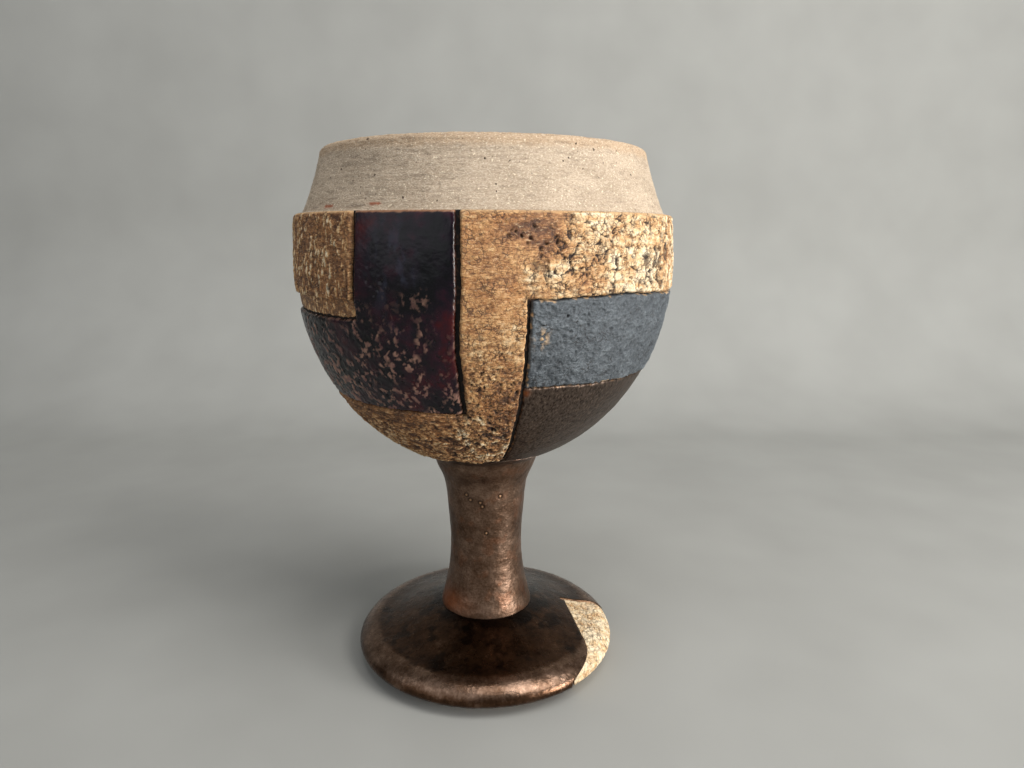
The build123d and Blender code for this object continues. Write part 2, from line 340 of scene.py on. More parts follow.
class Finish:
    """A material built from nodes, with textures placed by where a point is on the chalice.
    Colours are (red, green, blue) screen values from 0 to 255."""

    def __init__(self, name):
        self.material = bpy.data.materials.new(name)
        self.material.use_nodes = True
        self.tree = self.material.node_tree
        self.shader = self.tree.nodes["Principled BSDF"]
        self.place = self.node("ShaderNodeTexCoord").outputs["Object"]

    def node(self, kind, inputs=(), **settings):
        """A node with some settings; inputs are (socket, value or other socket) pairs."""
        node = self.tree.nodes.new(kind)
        for key, value in settings.items():
            setattr(node, key, value)
        for socket, value in inputs:
            self.plug(node.inputs[socket], value)
        return node

    def plug(self, socket, value):
        """Link another socket to this one, or set it to a colour or a value."""
        if isinstance(value, bpy.types.NodeSocket):
            self.tree.links.new(value, socket)
        else:
            socket.default_value = colour(*value) if socket.type == "RGBA" else value

    def layer(self, name):
        """The value that the mesh holds for each point."""
        return self.node("ShaderNodeAttribute", attribute_name=name).outputs["Fac"]

    def scaled(self, size, stretch):
        """Where a point is, in steps of that many millimetres; stretch makes them longer."""
        scaling = [1 / (size * MM * way) for way in stretch]
        return self.node("ShaderNodeMapping", [("Vector", self.place), ("Scale", scaling)]).outputs[0]

    def noise(self, size, detail=2, stretch=(1, 1, 1), roughness=0.5):
        """Noise from 0 to 1 with bumps of that many millimetres."""
        inputs = [("Vector", self.scaled(size, stretch)), ("Scale", 1), ("Detail", detail),
                  ("Roughness", roughness)]
        return self.node("ShaderNodeTexNoise", inputs).outputs["Fac"]

    def toned(self, amount, *grain, **more):
        """The mesh's own tone, made lighter and darker by noise, by up to that amount."""
        return self.math("ADD", self.layer("tone"),
                         self.spread(self.noise(*grain, **more), 0.25, 0.75, -amount, amount))

    def cracks(self, size, width, wobble):
        """1 in the cracks between flakes of that many millimetres, and 0 on the flakes."""
        place = self.scaled(size, (1, 1, 1))
        cloud = self.node("ShaderNodeTexNoise", [("Vector", place), ("Scale", 2.5), ("Detail", 3)])
        bent = self.node("ShaderNodeVectorMath", [(0, cloud.outputs["Color"]), (1, [wobble] * 3), (2, place)],
                         operation="MULTIPLY_ADD").outputs[0]
        edge = self.node("ShaderNodeTexVoronoi", [("Vector", bent), ("Scale", 1)],
                         feature="DISTANCE_TO_EDGE")
        return self.spread(edge.outputs["Distance"], width / size, 0.2 * width / size)

    def ramp(self, value, *stops):
        """A colour for each value: stops are (position, colour) pairs."""
        node = self.node("ShaderNodeValToRGB", [("Fac", value)])
        for _ in stops[2:]:
            node.color_ramp.elements.new(0.5)
        for element, (position, shade) in zip(node.color_ramp.elements, stops):
            element.position = position
            element.color = colour(*shade)
        return node.outputs["Color"]

    def over(self, shade, *coats):
        """The shade under some others: each has a share, or the name of a layer, and a colour."""
        for share, tint in coats:
            node = self.node("ShaderNodeMix", data_type="RGBA")
            share = self.layer(share) if isinstance(share, str) else share
            for socket, value in ((0, share), (6, shade), (7, tint)):
                self.plug(node.inputs[socket], value)
            shade = node.outputs[2]
        return shade

    def math(self, operation, first, second):
        return self.node("ShaderNodeMath", [(0, first), (1, second)], operation=operation).outputs[0]

    def spread(self, value, low, high, to_low=0.0, to_high=1.0):
        """The value stretched from one range to another, and held inside it."""
        inputs = [("Value", value), ("From Min", low), ("From Max", high), ("To Min", to_low),
                  ("To Max", to_high)]
        return self.node("ShaderNodeMapRange", inputs).outputs[0]

    def bump(self, height, distance, normal=None):
        """Bumps as high as that many millimetres, on top of other bumps."""
        inputs = [("Height", height), ("Distance", distance * MM)]
        if normal:
            inputs.append(("Normal", normal))
        return self.node("ShaderNodeBump", inputs).outputs["Normal"]

    def done(self, **sockets):
        """Set the shader's sockets, with _ for a space in their names."""
        for name, value in sockets.items():
            self.plug(self.shader.inputs[name.replace("_", " ")], value)
        return self.material


def clay_finish():
    """Bare fired stoneware: warm grey, with pale grog, a few iron specks and a tan lip."""
    f = Finish("bare_stoneware")
    shade = f.ramp(f.noise(6, 4, (1.6, 1.6, 0.8)), (0.3, (158, 141, 121)), (0.7, (180, 162, 141)))
    grain = f.noise(0.28, 3, (1.6, 1.6, 0.8), 0.7)
    grog = f.noise(0.45, 1, roughness=0.3)
    iron = f.noise(0.9, 1, roughness=0.3)
    shade = f.over(shade,
                   (f.math("MULTIPLY", f.layer("tan"), 0.8), (174, 148, 120)),
                   (f.spread(grain, 0.5, 0.68, 0, 0.55), (214, 200, 182)),
                   (f.spread(grain, 0.46, 0.30, 0, 0.6), (112, 96, 80)),
                   (f.spread(grog, 0.68, 0.76, 0, 0.8), (228, 214, 188)),
                   (f.spread(iron, 0.25, 0.21), (62, 48, 38)),
                   ("rust", (142, 70, 40)),
                   # dark: scratches, and painted shade at the foot of the collar
                   ("dark", (50, 37, 30)))
    rough = f.bump(grain, 0.16)
    rough = f.bump(f.noise(1.1, 3, (3.5, 3.5, 0.5)), 0.16, rough)
    return f.done(Base_Color=shade, Roughness=0.85, Specular_IOR_Level=0.25, Normal=rough)


def ochre_finish():
    """Thick slip: brown where it is thin, cream where it is thick, and dark in its cracks and pits."""
    f = Finish("ochre_slip")
    tone = f.toned(0.22, 1.0, 5, roughness=0.7)
    shade = f.ramp(tone, (0.0, (58, 36, 24)), (0.22, (104, 68, 42)), (0.45, (160, 112, 70)),
                   (0.66, (196, 150, 100)), (0.84, (222, 190, 146)), (1.0, (238, 218, 184)))
    scratch = f.noise(0.34, 3, (2.6, 2.6, 0.8), 0.65)
    thin = f.spread(tone, 0.6, 0.9, 0.85, 0.35)
    cracked = f.spread(f.noise(2.2, 2), 0.40, 0.62, 0.05, 0.8)
    fine = f.math("MULTIPLY", f.cracks(1.1, 0.12, 0.6), cracked)
    shade = f.over(shade,
                   (f.spread(f.noise(6, 3), 0.55, 0.75, 0, 0.35), (176, 112, 56)),
                   (f.math("MULTIPLY", f.spread(scratch, 0.52, 0.64), thin), (84, 52, 33)),
                   (f.spread(scratch, 0.44, 0.32, 0, 0.5), (236, 204, 160)),
                   ("rim", (196, 158, 114)),
                   (fine, (64, 42, 32)),
                   ("dark", (40, 27, 24)))
    rough = f.bump(f.noise(0.4, 4, roughness=0.7), 0.22)
    rough = f.bump(f.math("SUBTRACT", 1.0, fine), 0.08, rough)
    gloss = f.spread(tone, 0.1, 0.9, 0.50, 0.70)
    return f.done(Base_Color=shade, Roughness=gloss, Specular_IOR_Level=0.4, Normal=rough)


def plum_finish():
    """Glossy dark glaze between blue-black, plum and dark red, crawled and speckled lower down."""
    f = Finish("plum_glaze")
    shade = f.ramp(f.toned(0.25, 2.2, 4), (0.0, (6, 5, 11)), (0.3, (20, 12, 22)), (0.55, (40, 16, 28)),
                   (0.8, (56, 13, 20)), (1.0, (72, 18, 20)))
    fleck = f.ramp(f.noise(1.2, 3), (0.35, (110, 76, 72)), (0.65, (158, 122, 104)))
    # the blue layer is a painted bluish sheen, a painted reflection
    shade = f.over(shade, ("blue", (60, 62, 78)), ("speck", fleck), ("rim", (140, 102, 78)),
                   ("dark", (5, 3, 4)))
    gloss = f.spread(f.layer("speck"), 0, 1, 0.27, 0.5)
    rough = f.bump(f.noise(0.9, 2), 0.05)
    return f.done(Base_Color=shade, Roughness=gloss, Specular_IOR_Level=0.3, Normal=rough)


def slate_finish():
    """Matte blue-grey slip with a fibrous surface."""
    f = Finish("slate_slip")
    shade = f.ramp(f.toned(0.26, 0.5, 4, (1.8, 1.8, 0.8), 0.65),
                   (0.0, (34, 37, 42)), (0.5, (74, 80, 85)), (1.0, (126, 133, 138)))
    crack = f.math("MULTIPLY", f.cracks(1.8, 0.10, 0.6), f.spread(f.noise(3, 2), 0.52, 0.62))
    shade = f.over(shade, (crack, (28, 26, 28)), ("rim", (196, 160, 116)), ("dark", (22, 19, 20)))
    rough = f.bump(f.noise(0.4, 4, (1.6, 1.6, 0.8), 0.7), 0.3)
    return f.done(Base_Color=shade, Roughness=0.48, Specular_IOR_Level=0.55, Normal=rough)


def bronze_finish():
    """Satin dark brown glaze with a coppery sheen, black in places and duller on the bowl."""
    f = Finish("bronze_glaze")
    shade = f.ramp(f.toned(0.12, 0.5, 4, roughness=0.6), (0.0, (40, 27, 18)), (0.3, (70, 50, 36)),
                   (0.5, (100, 79, 65)), (0.75, (142, 117, 100)), (1.0, (190, 162, 142)))
    dull = f.layer("dull")
    streak = f.noise(0.5, 4, (1, 1, 3.5), 0.65)
    shade = f.over(shade,
                   (f.math("MULTIPLY", dull, 0.8), (84, 74, 67)),
                   (f.math("MULTIPLY", dull, f.spread(streak, 0.5, 0.62, 0, 0.9)), (38, 28, 22)),
                   (f.math("MULTIPLY", dull, f.spread(streak, 0.45, 0.33, 0, 0.7)), (124, 108, 96)),
                   ("rust", (158, 86, 44)),
                   ("rim", (172, 134, 100)),
                   # dark: pits, pinholes and mottles, and painted shade by the foot's crease
                   ("dark", (14, 10, 8)))
    rough = f.bump(f.noise(0.55, 1, (1.4, 1.4, 0.8)), 0.05)
    rough = f.bump(f.noise(0.22, 3), 0.02, rough)
    satin = f.spread(f.layer("satin"), 0, 1, 0, 0.20)
    gloss = f.math("ADD", f.spread(f.noise(2.5, 3), 0.3, 0.7, 0.25, 0.31), satin)
    return f.done(Base_Color=shade, Metallic=0.9, Roughness=gloss, Normal=rough)


def liner_finish():
    """Glossy honey-brown glaze inside the cup, paler where it thins towards the lip."""
    f = Finish("liner_glaze")
    shade = f.ramp(f.toned(0.25, 3, 4, (1, 1, 0.6)), (0.0, (40, 22, 14)), (0.4, (84, 48, 26)),
                   (0.75, (140, 90, 50)), (1.0, (190, 150, 104)))
    rough = f.bump(f.noise(1.4, 2), 0.05)
    return f.done(Base_Color=shade, Roughness=0.16, IOR=1.52, Normal=rough)


def stain_finish():
    """Painted shade for the grooves: near-black, with paler brown breaks like bare clay."""
    f = Finish("groove_stain")
    shade = f.ramp(f.noise(0.8, 3), (0.55, (20, 15, 13)), (0.8, (86, 62, 46)))
    rough = f.bump(f.noise(0.4, 3), 0.15)
    return f.done(Base_Color=shade, Roughness=0.75, Specular_IOR_Level=0.3, Normal=rough)


def hidden_clay_finish():
    """The dense clay of the stem's core and its slip joints."""
    f = Finish("core_clay")
    shade = f.ramp(f.noise(1.2, 4), (0.35, (140, 122, 102)), (0.65, (176, 158, 134)))
    rough = f.bump(f.noise(0.5, 3), 0.1)
    return f.done(Base_Color=shade, Roughness=0.85, Normal=rough)


# ---- the clad bowl ----
CLAD = Outline(bowl_outline(0))
BED = COAT - 0.2            # the coats' undersides lie this deep, a little above the clay
# where the knife strayed: azimuth, height, move sideways and up, and how far that is felt
STRAYS = [(MIDDLE, 111, 0.7, 0, 4, 12), (LEFT, 112, 1.2, 0, 6, 8), (18, SLATE_LOW, 0, 0.7, 14, 4),
          (RIGHT + 5, SLATE_HIGH, 0, -0.6, 12, 4), (75, SLATE_HIGH, 0, -0.9, 25, 4)]


def knife_wander(azimuth, z, at):
    """How far the hand-cut seams wander sideways and up, the same for the coats on both sides."""
    sideways = 0.22 * noise(at, 9, 71) + 0.12 * noise(at, 2.2, 72, 2)
    upwards = 0.22 * noise(at, 9, 73) + 0.12 * noise(at, 2.2, 74, 2)
    for azimuth_there, z_there, move, lift, wide, tall in STRAYS:
        felt = blob(azimuth, z, azimuth_there, z_there, wide, tall)
        sideways = sideways + move * felt
        upwards = upwards + lift * felt
    return sideways, upwards


def rounded(distance, rounding, cut=0.3):
    """Share of a coat's thickness at a distance from its edge: a small cut, then a rounding."""
    t = np.clip(1 - distance / rounding, 0, 1)
    return cut + (1 - cut) * np.sqrt(1 - t**2)


def flush(distance, _):
    """A coat that carries on at its full thickness."""
    return 1 + 0 * distance


def coat_edges(block, azimuth, run, radius, line_azimuths, run_lines, at_shoulder):
    """Distances to a coat's cut edges, to its edge along the shoulder and to its lowest edge."""
    edge, top, low = (np.full(run.shape, FAR) for _ in range(3))
    solid = np.pad(block, 1)
    for k, j in product(range(block.shape[0] + 1), range(block.shape[1])):
        if solid[k, j + 1] != solid[k + 1, j + 1]:
            across = np.radians(azimuth - line_azimuths[k]) * radius
            past = np.maximum(0, np.maximum(run_lines[j] - run, run - run_lines[j + 1]))
            edge = np.minimum(edge, np.hypot(across, past))
    for k, j in product(range(block.shape[0]), range(block.shape[1] + 1)):
        if solid[k + 1, j] != solid[k + 1, j + 1]:
            past = np.maximum(0, np.maximum(line_azimuths[k] - azimuth, azimuth - line_azimuths[k + 1]))
            distance = np.hypot(np.radians(past) * radius, run - run_lines[j])
            if j == block.shape[1] and at_shoulder:
                top = np.minimum(top, distance)
            elif j == 0:
                low = np.minimum(low, distance)
            else:
                edge = np.minimum(edge, distance)
    return edge, top, low


def panel(name, azimuths, heights, filled, corners, grain, seed, coat, rounding, low_edge, relief, **look):
    """A coat on the bowl, cut along lines.  Each line is a place and the side of it, 1 or -1, on
    which the coat lies (0 is on the line).  filled has a letter for each block between the lines,
    row by row from the lowest, which is x where there is a coat.  corners are the rounded ones:
    each has the numbers of its upright and its level line, and its radius."""
    step, gap = 4, GROOVE / 2
    block = np.array([[letter == "x" for letter in row] for row in filled]).T
    turn_lines, turn_sides = np.array(azimuths, float).T
    level_lines, level_sides = np.array(heights, float).T
    run_lines = CLAD.run_at(level_lines) + gap * level_sides

    def divided(lines, spacing):
        counts = [step * max(1, round((b - a) / (step * spacing))) for a, b in zip(lines, lines[1:])]
        parts = [np.linspace(a, b, n, endpoint=False) for a, b, n in zip(lines, lines[1:], counts)]
        return np.concatenate([*parts, lines[-1:]]), counts

    turns, turn_counts = divided(turn_lines, math.degrees(grain / BOWL_RADIUS))
    runs, run_counts = divided(run_lines, grain)
    keep = np.repeat(np.repeat(block, [n // step for n in turn_counts], axis=0),
                     [n // step for n in run_counts], axis=1)
    run = runs[None] + 0 * turns[:, None]
    radius = CLAD.at(run)[0][..., 0]
    side = np.interp(turns, turn_lines, turn_sides)[:, None]
    azimuth = turns[:, None] + np.degrees(side * gap / radius)
    line_azimuths = [a + np.degrees(s * gap / radius) for a, s in zip(turn_lines, turn_sides)]

    def into_corner(k, j, reach):
        """The ways into a rounded corner, round and up, and how far in each point is going round."""
        inward = 1 if block[min(k, block.shape[0] - 1), min(j, block.shape[1] - 1)] else -1
        upward = 1 if j == 0 else -1
        return inward, upward, 1 - inward * np.radians(azimuth - line_azimuths[k]) * radius / reach

    for k, j, reach in corners:
        inward, upward, x = into_corner(k, j, reach)
        y = 1 - np.abs(run - run_lines[j]) / reach
        near = (x > 0) & (x <= 1 + 1e-6) & (y > 0)
        x, y = np.where(near, x, 0), np.where(near, y, 0)
        azimuth = azimuth + inward * np.degrees(x * (1 - np.sqrt(1 - y**2 / 2)) * reach / radius)
        run = run + upward * y * (1 - np.sqrt(1 - x**2 / 2)) * reach

    edge, top, low = coat_edges(block, azimuth, run, radius, line_azimuths, run_lines, level_sides[-1] == 0)
    for k, j, reach in corners:
        _, upward, x = into_corner(k, j, reach)
        y = 1 - upward * (run - run_lines[j]) / reach
        near = (x > 0) & (y > 0)
        edge = np.where(near, np.minimum(edge, reach * (1 - np.hypot(x, y))), edge)

    flat = around(azimuth, CLAD.at(run)[0])
    sideways, upwards = knife_wander(azimuth, flat[..., 2], flat)
    sideways = sideways + 0.12 * noise(flat, 0.9, seed, 2)
    upwards = upwards + 0.12 * noise(flat, 0.9, seed + 1, 2)
    if level_sides[-1] == 0:
        upwards = upwards * smooth(0, 6, run_lines[-1] - run)
    if level_sides[0] == 0:
        upwards = upwards * smooth(0, 3, run - run_lines[0])
    azimuth = azimuth + np.degrees(sideways / radius)
    place, out = CLAD.at(run + upwards)
    flat = around(azimuth, place)
    rise, layers = relief(azimuth, place[..., 1], flat, np.minimum(edge, np.minimum(top, low)), top)
    shape = rounded(edge, rounding) * rounded(top, 0.8, 0.2) * low_edge(low, rounding)
    height = (coat + rise) * shape
    top_points = flat + (height - COAT)[..., None] * around(azimuth, out)
    bottom_points = (flat - BED * around(azimuth, out))[::step, ::step]
    return slab(name, top_points, bottom_points, keep, step, layers, **look)


def ochre_slip(azimuth, z, at, edge, top):
    """Thick slip: brushed and smooth by the plum panel, crackled to the right, pitted lower down."""
    seen = smooth(112, 98, np.abs(azimuth))
    cloud = noise(at, 13, 401, 2)
    left = smooth(-30, -42, azimuth) * seen
    crackle = smooth(7, 19, azimuth + 8 * cloud) * smooth(96, 101, z)
    crackle = crackle * seen + (1 - seen) * smooth(-0.1, 0.25, cloud)
    streaks = np.maximum(smooth(52, 66, azimuth) * smooth(97, 103, z), left * smooth(90, 96, z)) * seen
    strip = smooth(14, 10, azimuth) * smooth(-12, -8, azimuth) * seen
    sponge = smooth(99, 82, z) * strip
    patch = blob(azimuth, z, 6, 73, 7, 7) + 1.2 * blob(azimuth, z, 10, 113, 6, 2.2)
    patch += 1.1 * blob(azimuth, z, 17, 110, 5, 3) + 0.6 * blob(azimuth, z, 27, 104, 4, 4)
    flaky = smooth(77, 68, z)
    low_left = smooth(-7, -14, azimuth) * smooth(80, 74, z) * seen

    bent = shifted(shifted(at, 3, 1.0, 11), 0.8, 0.32, 14)
    _, border, tag = cells(bent, 2.4, 21)
    width = 0.10 + 0.14 * smooth(-0.3, 0.4, noise(at, 3.5, 19))
    crack = smooth(width, 0.3 * width, border) * crackle * smooth(-0.45, -0.1, noise(at, 2.2, 17))
    _, fine_border, fine_tag = cells(shifted(at, 0.8, 0.3, 25), 0.95, 31)
    fine_crack = smooth(0.13, 0.03, fine_border) * np.clip(crackle + 0.6 * left, 0, 1)
    fine_crack = fine_crack * smooth(0.0, 0.4, noise(at, 2.6, 35))
    lost = crackle * (tag < 0.08) * smooth(0.05, 0.4, border)
    crater = pits(shifted(at, 1, 0.3, 37), 4.2, 0.35, 1.0, 51) * (0.12 + 0.88 * crackle)
    patch_pit = pits(shifted(at, 1.2, 0.4, 39), 1.7, 0.85, 0.85, 53) * np.clip(patch, 0, 1)

    brushed = noise(at * (1, 1, 4.5), 3.5, 61, 4)
    _, streak_border, streak_tag = cells(shifted(at * (1, 1, 0.42), 1.5, 0.5, 64), 1.0, 65)
    streak = streaks * smooth(0.02, 0.25, streak_border) * (streak_tag > 0.5)
    _, flake_border, flake_tag = cells(shifted(at * (1, 1, 2.2), 2, 0.8, 67), 1.7, 68)
    flake = flaky * smooth(0.02, 0.3, flake_border) * (flake_tag > 0.42)
    gap = flaky * (flake_tag < 0.25) * smooth(0.02, 0.3, flake_border)
    holes = pits(shifted(at, 1, 0.3, 69), 1.15, 0.85, 0.62, 75)
    holes = holes * sponge * smooth(-0.3, 0.2, noise(at, 3, 70))
    dotted = np.clip(sponge + 0.5 * patch + 0.3 * smooth(-0.2, 0.4, cloud), 0, 1)
    dots = pits(at, 0.62, 0.5, 0.26, 77) * dotted
    pocked = smooth(0.05, 0.5, noise(at, 0.8, 79, 3)) * np.clip(sponge + 0.5 * flaky + 0.6 * left, 0, 1)

    rise = 0.05 * brushed + 0.10 * noise(at, 4, 81, 3) - 0.10
    rise += crackle * (0.10 * (tag - 0.5)) - 0.40 * crack - 0.08 * fine_crack
    rise -= 0.40 * lost + 0.45 * crater + 0.55 * patch_pit + 0.45 * holes + 0.25 * dots + 0.16 * pocked
    rise += 0.18 * streak + 0.22 * flake - 0.3 * gap - 0.12 * streaks - 0.1 * flaky

    tone = 0.50 + 0.15 * brushed + 0.10 * cloud + 0.05 * smooth(99, 92, z) * strip
    tone += crackle * (0.34 + 0.16 * (tag - 0.5) + 0.08 * (fine_tag - 0.5))
    tone += 0.25 * sponge * noise(at, 2.2, 83, 3) + 0.56 * streak - 0.24 * streaks + 0.06 * left
    tone += 0.46 * flake - 0.12 * flaky - 0.14 * low_left - 0.32 * np.clip(patch, 0, 1)
    dark = crack + 0.5 * fine_crack + 0.7 * lost + 0.75 * crater + 0.9 * patch_pit
    dark = dark + 0.95 * holes + 0.85 * dots + 0.6 * pocked + 0.85 * gap
    # by the left patch's lower edge: a ridge with a groove beside it, and the dark line along the groove is
    # painted shade
    framed = left * smooth(107, 103, z)
    rise += framed * (0.12 * smooth(0.85, 0.6, edge) - 0.45 * blob(edge, 0, 1.05, 0, 0.26, 1))
    dark = dark * (1 - 0.8 * framed * smooth(0.9, 0.7, edge))
    dark = dark + framed * blob(edge, 0, 1.05, 0, 0.24, 1)
    rim = 0.8 * smooth(0.75, 0.25, top + 0.2 * noise(at, 1.2, 85)) + 0.12 * smooth(0.5, 0.15, edge)
    dark = np.clip(dark, 0, 1) * (1 - 0.7 * smooth(0.7, 0.3, top))
    return rise, {"tone": tone, "dark": dark, "rim": np.clip(rim, 0, 1) * (1 - dark)}


def plum_glaze(azimuth, z, at, edge, top):
    """Glossy glaze that has run thick, with crawled and speckled places in its lower half."""
    cloud = noise(at, 9, 501, 3)
    crawl = smooth(101, 88, z + 8 * cloud)
    fine = noise(shifted(at, 2.5, 0.5, 502) * (1, 1, 0.8), 1.15, 503, 4)
    bubble = pits(at, 1.2, 0.6, 0.42, 505) * (0.06 + 0.94 * crawl)
    crater = pits(at, 9, 0.3, 1.0, 507) + pits(at, 1.6, 0.8, 0.8, 508) * blob(azimuth, z, -29, 103, 3, 2.5)
    rise = 0.07 * noise(at, 7, 509, 2) + 0.02 * noise(at, 1.8, 511, 2)
    rise += crawl * 0.10 * fine - 0.30 * bubble - 0.4 * crater
    tone = 0.40 + 0.35 * cloud + 0.30 * smooth(-17, -10, azimuth) * smooth(101, 94, z) * smooth(76, 82, z)
    tone -= 0.35 * blob(azimuth, z, -14, 105, 6, 8) + 0.3 * smooth(-36, -60, azimuth)
    # blue: a painted bluish sheen, a painted reflection high on the middle of the glaze
    blue = 0.5 * blob(azimuth, z, -23, 104, 5, 9) * smooth(-0.1, 0.7, noise(at * (1, 1, 0.5), 2.5, 512, 4))
    speck = crawl * smooth(0.14, 0.38, fine) * smooth(-0.5, 0.1, noise(at, 4, 513, 2))
    speck = speck * (1 - 0.8 * smooth(-16, -10, azimuth) * smooth(80, 84, z))
    speck = np.maximum(speck, 0.5 * smooth(0.5, 0.2, edge) * smooth(0.0, 0.4, fine))
    dark = np.clip(0.8 * bubble + 0.6 * crater, 0, 1)
    rim = 0.9 * smooth(0.6, 0.25, top + 0.2 * noise(at, 1.2, 515)) + 0.1 * smooth(0.45, 0.15, edge)
    rim = np.clip(rim, 0, 1)
    return rise, {"tone": tone, "speck": 0.85 * speck, "dark": dark, "rim": rim, "blue": blue}


def slate_slip(azimuth, z, at, edge, top):
    """Matte slip whose surface dried in short fibres and bumps."""
    bent = shifted(at, 2.2, 1.3, 601)
    fibres = 1 - 2 * np.abs(noise(bent * (1, 1, 1.7), 1.9, 603, 4))
    lumps = noise(at * (1, 1, 1.5), 3.0, 605, 4)
    pit = pits(shifted(at, 0.8, 0.3, 606), 3.2, 0.30, 0.45, 607)
    chip = smooth(0.1, 0.3, noise(at, 1.1, 608, 2)) * blob(azimuth, z, 14.5, 92, 1.6, 1.6)
    rise = 0.16 * fibres + 0.20 * lumps - 0.14 - 0.5 * pit + 0.25 * chip
    tone = 0.42 + 0.10 * fibres + 0.12 * lumps + 0.10 * noise(at, 7, 615, 2)
    ragged = smooth(0.40, 0.15, edge + 0.35 * noise(at, 1.1, 617, 2))
    rim = np.maximum(0.8 * ragged * smooth(0.1, 0.3, noise(at, 1.8, 619)), smooth(0.7, 0.3, top))
    rim = np.maximum(rim, chip)
    return rise, {"tone": tone, "dark": pit, "rim": np.clip(rim, 0, 1)}


def bronze_glaze(azimuth, z, at, edge, top):
    """Thin satin glaze, a little uneven."""
    rise = 0.05 * noise(at, 2.4, 701, 2) + 0.02 * noise(at, 0.8, 703, 2) - 0.05
    pit = pits(at, 4.5, 0.25, 0.35, 705)
    rise -= 0.3 * pit
    tone = 0.35 + 0.12 * noise(at, 5, 707, 3) + 0.10 * noise(at, 1.4, 709, 2)
    cut = 0.5 * smooth(0.3, 0.1, edge) * smooth(0.1, 0.3, noise(at, 1.5, 711))
    rim = np.clip(np.maximum(smooth(0.7, 0.3, top), cut), 0, 1)
    rust = 0.6 * blob(azimuth, z, 12, 79.8, 1.2, 0.7)
    full = 1 + 0 * z
    return rise, {"tone": tone, "dark": 0.9 * pit, "rim": rim, "rust": rust, "dull": full, "satin": full}


def add_panels(materials):
    """The coloured coats, which are cut apart along the grooves."""
    low, top = (COAT_LOW_Z, 0), (SHOULDER_Z, 0)
    left_end, right_end, right_start = (LEFT_BACK, 0.5), (RIGHT_BACK, -0.5), (RIGHT_BACK, 0.5)
    right = [(RIGHT, 0.8), right_end]
    behind = [(BACK_LEFT, 1), (LEFT_BACK + 360, -0.5)]
    coats = {"ochre": ("ochre_panel", "ochre_slip", COAT, 0.6, rounded, ochre_slip),
             "plum": ("purple_panel", "plum_glaze", 1.0, 0.9, rounded, plum_glaze),
             "slate": ("slate_panel", "slate_slip", 1.1, 0.6, rounded, slate_slip),
             "bronze": ("bronze_panel", "bronze_glaze", BRONZE, 0.7, flush, bronze_glaze)}
    panels = [
        ("ochre_front", [left_end, (MIDDLE, 1), (RIGHT, -1), right_end],
         [low, (PURPLE_LOW, -0.3), (SLATE_HIGH, 0.2), top], ["xx.", ".x.", ".xx"], [(2, 0, 4.0)]),
        ("ochre_left", [left_end, (LEFT, -0.7)], [(PATCH_LOW, 0.4), top], ["x"], [(1, 0, 4.0)]),
        ("ochre_back", [right_start, (BACK, 1), (BACK_LEFT, -1)],
         [low, (BACK_PURPLE_LOW, -0.3), top], ["xx", ".x"], []),
        ("plum_front", [left_end, (LEFT, 0.7), (MIDDLE, -1)],
         [(PURPLE_LOW, 0.3), (PATCH_LOW, -0.4), top], ["xx", ".x"], []),
        ("plum_back", [right_start, (BACK, -1)], [(BACK_PURPLE_LOW, 0.3), top], ["x"], []),
        ("slate_front", right, [(SLATE_LOW, 0.15), (SLATE_HIGH, -0.2)], ["x"], []),
        ("slate_back", behind, [(BACK_SLATE_LOW, 0.15), top], ["x"], []),
        ("bronze_front", right, [low, (SLATE_LOW, -0.15)], ["x"], []),
        ("bronze_back", behind, [low, (BACK_SLATE_LOW, -0.15)], ["x"], [])]
    for number, (name, *shape) in enumerate(panels):
        kind, side = name.split("_")
        node, slot, coat, rounding, low_edge, relief = coats[kind]
        grain = 1.8 * GRAIN if side == "back" else GRAIN
        panel(name, *shape, grain, 801 + 2 * number, coat, rounding, low_edge, relief,
              material=materials[kind], node_names=[f"{node}_{side}"], slot=slot)


